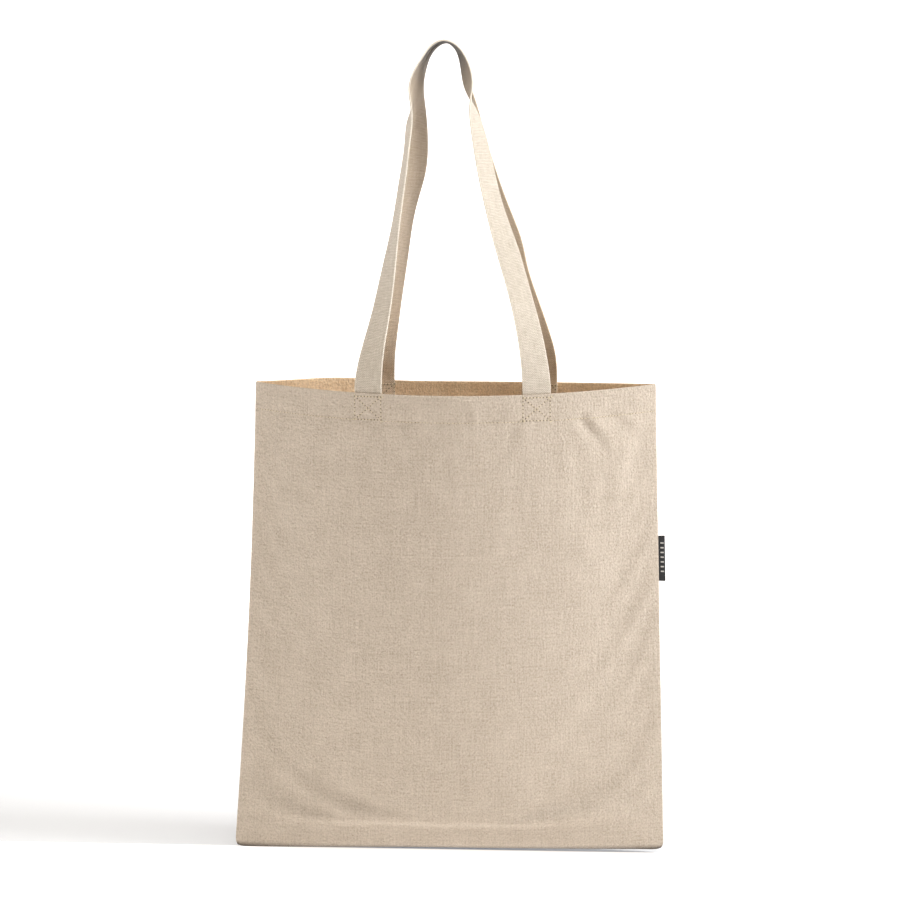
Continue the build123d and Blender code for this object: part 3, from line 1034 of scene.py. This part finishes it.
def hem_line(side):
    """Places of the hem's stitches in three runs, which stop at the box stitches."""
    half = BOX_WIDTH / 2 + HEM_BOX_GAP
    ends = [-HEM_ENDS_U, *[
        u_at(handle_x(side, hand) + reach, HEIGHT)
        for hand in (LEFT, RIGHT) for reach in (-half, half)
    ], HEM_ENDS_U]
    runs = []
    for a, b in zip(ends[0::2], ends[1::2]):
        us = steps(a, b, 3 + round((b - a) * 40))
        heights = [rim_z(u) - HEM + STITCH_LINE for u in us]
        runs.append([(middle_x(z) + half_width(z) * u, z) for u, z in zip(us, heights)])
    return runs


def make_sewing(panels, handles, thread, shade):
    """Box stitches at the handles' ends and the hems' lines of stitches, on both faces."""
    tree = stitch_tree()
    paints = {"Thread": thread, "Shade": shade}
    for side, word in SIDES.items():
        outer, strap = surface_of(panels[side], handles[side])
        far = side * (RIM_HALF_DEPTH + 0.03)
        for hand, which in HANDS.items():
            x = handle_x(side, hand)
            z = rim_z(u_at(x, HEIGHT)) - BOX_BELOW_RIM - BOX_HEIGHT / 2
            runs = [stitch_run(outer, a, b, far, -side) for a, b in box_runs(x, z)]
            runs += [stitch_run(strap, a, b, 0.0, side) for a, b in box_runs(x, z)]
            values = {**SEWING, **paints, "Seed": BOX_SEED}
            made = sew(f"{word}_{which}_box_stitches", runs, tree, values)
            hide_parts(f"{word}_{which}_box_stitch")
        runs = []
        for places in hem_line(side):
            for start_y, way in ((far, -side), (side * 0.002, side)):
                found = [seen_from(outer, px, pz, start_y, way) for px, pz in places]
                runs.append([f for f in found if f])
        values = {**HEM_SEWING, **paints, "Seed": HEM_SEED}
        made = sew(f"{word}_hem_stitches", runs, tree, values)
        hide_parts(f"{word}_hem_stitch")


def overlock_tree():
    """Loops of thread wrapped round a raw edge, one on each pitch of the line."""
    tree, nodes, given, curve, tangent, normal = line_tree(
        "overlock", ("Pitch", "Reach", "Around", "Width"), ("Thread",)
    )
    facing = nodes.add(
        "FunctionNodeAxesToRotation", {"primary_axis": "X", "secondary_axis": "Z"},
        {"Primary Axis": normal, "Secondary Axis": tangent},
    )
    lean = nodes.add(
        "FunctionNodeRandomValue", {"data_type": "FLOAT_VECTOR"},
        {0: LEAN[0], 1: LEAN[1], "Seed": given["Seed"]},
    )
    lean = nodes.add("FunctionNodeEulerToRotation", None, {"Euler": lean})
    facing = nodes.add(
        "FunctionNodeRotateRotation", {"rotation_space": "LOCAL"},
        {"Rotation": facing, "Rotate By": lean},
    )
    ring = nodes.add("GeometryNodeCurvePrimitiveCircle", None, {"Resolution": 12, "Radius": 0.5})
    size = xyz(nodes, given["Reach"], given["Around"], 1.0)
    ring = nodes.add("GeometryNodeTransform", None, {"Geometry": ring, "Scale": size})
    section = nodes.add("GeometryNodeCurvePrimitiveCircle", None, {"Resolution": 5, "Radius": 0.5})
    size = xyz(nodes, given["Width"], given["Width"], 1.0)
    section = nodes.add("GeometryNodeTransform", None, {"Geometry": section, "Scale": size})
    loop = nodes.add("GeometryNodeCurveToMesh", None, {"Curve": ring, "Profile Curve": section})
    copies = nodes.add("GeometryNodeInstanceOnPoints", None,
                       {"Points": curve, "Instance": loop, "Rotation": facing})
    loops = realized(nodes, copies, given["Thread"])
    leave = tree.nodes.new("NodeGroupOutput")
    tree.links.new(loops.socket, leave.inputs[0])
    return tree


def make_overlock(thread):
    """Thread round the raw edges of the side and bottom allowances."""
    tree = overlock_tree()
    values = {**OVERLOCKING, "Thread": thread, "Seed": OVERLOCK_SEED}
    inset = ALLOWANCE - OVERLOCK / 2 + OVERLOCK_PAST
    for hand, which in HANDS.items():
        run = []
        for z in steps(OVERLOCK_FROM, HEIGHT - HEM - 0.003, 30):
            draw, lift = settling(FRONT, hand, z)
            run.append(((seam_x(hand, z) - hand * inset + draw, 0, z + lift), (-hand, 0, 0)))
        made = sew(f"{which}_overlock", [run], tree, values)
        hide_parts(f"{which}_seam_thread")
    reach = CUT_HALF_WIDTH - ALLOWANCE - 2 * OVERLOCK
    run = []
    for x in steps(-reach, reach, 40):
        draw, lift = settling(FRONT, u_at(x, inset), inset)
        run.append(((x + draw, 0, inset + lift), (0, 0, 1)))
    made = sew("bottom_overlock", [run], tree, values)
    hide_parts("bottom_seam_thread")


# ---- label --------------------------------------------------------------------------------
RIBBON = 0.0002  # ribbon thickness
RIBBON_APART = 0.00013  # from the seam's middle plane to the middle of each ribbon layer
LABEL_BEND = 0.0014  # a distance outside the seam, which make_label reads but builds nothing from


def make_label(material):
    """Ribbon folded in half, its two ends sewn into the right seam."""
    reach = LABEL_SEWN + LABEL_REACH
    half = [
        (-LABEL_SEWN, RIBBON_APART), (-0.004, RIBBON_APART), (-0.001, RIBBON_APART),
        (0.0, RIBBON_APART), (0.0006, 0.00014), (0.0015, 0.0002), (0.0026, 0.00034),
        (0.0038, 0.00046), (0.0048, 0.0005), (0.0054, 0.00043), (0.0058, 0.00025),
    ]
    fold = half + [(LABEL_REACH - RIBBON / 2, 0.0)] + [(a, -y) for a, y in reversed(half)]
    lengths = [0.0]
    for (a, y), (b, w) in zip(fold, fold[1:]):
        lengths.append(lengths[-1] + hypot(b - a, w - y))
    scale = 2 * reach / lengths[-1]
    heights = steps(-LABEL_HEIGHT / 2, LABEL_HEIGHT / 2, 21)
    points, marks = [], []
    for h in heights:
        z = LABEL_MID_Z + h
        for (a, y), length in zip(fold, lengths):
            points.append((seam_x(RIGHT, z) + a, y, z))
            marks.append((length * scale, h))
    wide = len(fold)
    faces = [
        (j * wide + i, j * wide + i + 1, (j + 1) * wide + i + 1, (j + 1) * wide + i)
        for j in range(len(heights) - 1) for i in range(wide - 1)
    ]
    mesh = bpy.data.meshes.new("label_ribbon")
    mesh.from_pydata(points, [], [face[::-1] for face in faces])
    layer = mesh.uv_layers.new(name="UVMap")
    for loop in mesh.loops:
        layer.data[loop.index].uv = marks[loop.vertex_index]
    mesh.materials.append(material)
    label = finished(put("label_ribbon_cut", mesh), [
        ("SUBSURF", {"levels": 1, "render_levels": 1}),
        ("SOLIDIFY", {"thickness": RIBBON, "offset": 0.0}),
    ], "label_ribbon")
    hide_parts("side_label", "label_sewn_ends")
    x = seam_x(RIGHT, LABEL_MID_Z)
    x + LABEL_BEND
    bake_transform(label)


# ---- floor and light ----------------------------------------------------------------------
FLOOR_GREY = (0.68, 0.68, 0.68, 1.0)
FLOOR_GLOW_NEAR = (0.11, 0.13, 0.16, 1.0)  # behind the bag: keeps its shadow pale
FLOOR_GLOW_FRONT = (1.05, 0.99, 0.93, 1.0)  # painted light in front of it: washes out the contact shadow and lights the bag's front from below
FLOOR_GLOW_FAR = (1.04, 0.99, 0.96, 1.0)
GLOW_FRONT_EDGE, GLOW_FRONT_FADE = -0.002, 0.004
GLOW_FAR_EDGE, GLOW_FAR_FADE = 0.5, 0.6
FLOOR_HALF, FLOOR_NEAR, FLOOR_FAR = 14.0, -14.0, 2.2
SWEEP_RADIUS, BACKDROP_HIGH = 1.6, 6.0

WORLD_COLOUR = (1.0, 0.95, 0.87, 1.0)
WORLD_STRENGTH = 0.07
WARM, COOL = (1.0, 0.95, 0.87), (0.96, 0.98, 1.0)
LIT_PLACE = (0.0, 0.0, 0.25)  # what the lamps point at
# Name, place, width and height, power in watts and colour of each lamp.
LAMPS = (
    ("key", (2.25, -0.36, 1.85), (0.6, 0.6), 72, COOL),
    ("fill", (-2.3, -0.55, 1.4), (1.2, 1.2), 18, WARM),
    ("top", (0.2, -0.4, 2.8), (1.6, 1.6), 54, WARM),
)


def make_floor():
    """White floor that sweeps up into a backdrop behind the bag."""
    line = [(FLOOR_NEAR, 0.0), (0.0, 0.0)]
    line += [
        (FLOOR_FAR + SWEEP_RADIUS * sin(a), SWEEP_RADIUS * (1 - cos(a)))
        for a in steps(0, pi / 2, 16)
    ]
    line += [(FLOOR_FAR + SWEEP_RADIUS, BACKDROP_HIGH)]
    points = [(x, y, z) for y, z in line for x in (-FLOOR_HALF, FLOOR_HALF)]
    faces = [(2 * k, 2 * k + 1, 2 * k + 3, 2 * k + 2) for k in range(len(line) - 1)]
    mesh = bpy.data.meshes.new("floor")
    mesh.from_pydata(points, [], faces)
    for polygon in mesh.polygons:
        polygon.use_smooth = True
    material, nodes = new_material("floor")
    place = nodes.add("ShaderNodeTexCoord", None, None, 3)
    away = nodes.add("ShaderNodeVectorMath", {"operation": "LENGTH"}, {0: place}, 1)
    # painted light: the floor glows least behind the bag, most in front of it and far away
    in_front = (split(nodes, place)[1] * -1.0).above(GLOW_FRONT_EDGE, GLOW_FRONT_FADE)
    glow = mix(nodes, in_front, FLOOR_GLOW_NEAR, FLOOR_GLOW_FRONT)
    glow = mix(nodes, away.above(GLOW_FAR_EDGE, GLOW_FAR_FADE), glow, FLOOR_GLOW_FAR)
    surface = nodes.add("ShaderNodeBsdfPrincipled", None, {
        "Base Color": FLOOR_GREY, "Roughness": 0.9, "Specular IOR Level": 0.0,
        "Emission Color": glow, "Emission Strength": 1.0,
    })
    nodes.add("ShaderNodeOutputMaterial", None, {"Surface": surface})
    mesh.materials.append(material)
    put("floor", mesh)


def soft_box(name, place, size, power, colour):
    """Rectangular lamp that points at the bag."""
    lamp = bpy.data.lights.new(name, "AREA")
    lamp.shape = "RECTANGLE"
    lamp.size, lamp.size_y = size
    lamp.energy = power
    lamp.color = colour
    light = put(name, lamp)
    light.location = place
    way = Vector(LIT_PLACE) - Vector(place)
    light.rotation_euler = way.to_track_quat("-Z", "Y").to_euler()


def make_light():
    """World, lamps and a plain view of their colours."""
    world = bpy.data.worlds.new("studio")
    world.use_nodes = True
    sky = world.node_tree.nodes["Background"]
    sky.inputs["Color"].default_value = WORLD_COLOUR
    sky.inputs["Strength"].default_value = WORLD_STRENGTH
    bpy.context.scene.world = world
    for lamp in LAMPS:
        soft_box(*lamp)
    view = bpy.context.scene.view_settings
    view.view_transform = "Standard"
    view.look = "None"


def main():
    make_camera()
    canvas, webbing = canvas_material(), webbing_material()
    thread = thread_material("thread", THREAD_COLOURS)
    shade = thread_material("needle_hole_shade", HOLE_SHADE_COLOURS)
    panels = {side: make_panel(side, canvas) for side in SIDES}
    handles = {side: make_handle(side, webbing) for side in SIDES}
    make_sewing(panels, handles, thread, shade)
    make_overlock(thread)
    make_label(label_material())
    make_floor()
    make_light()


main()
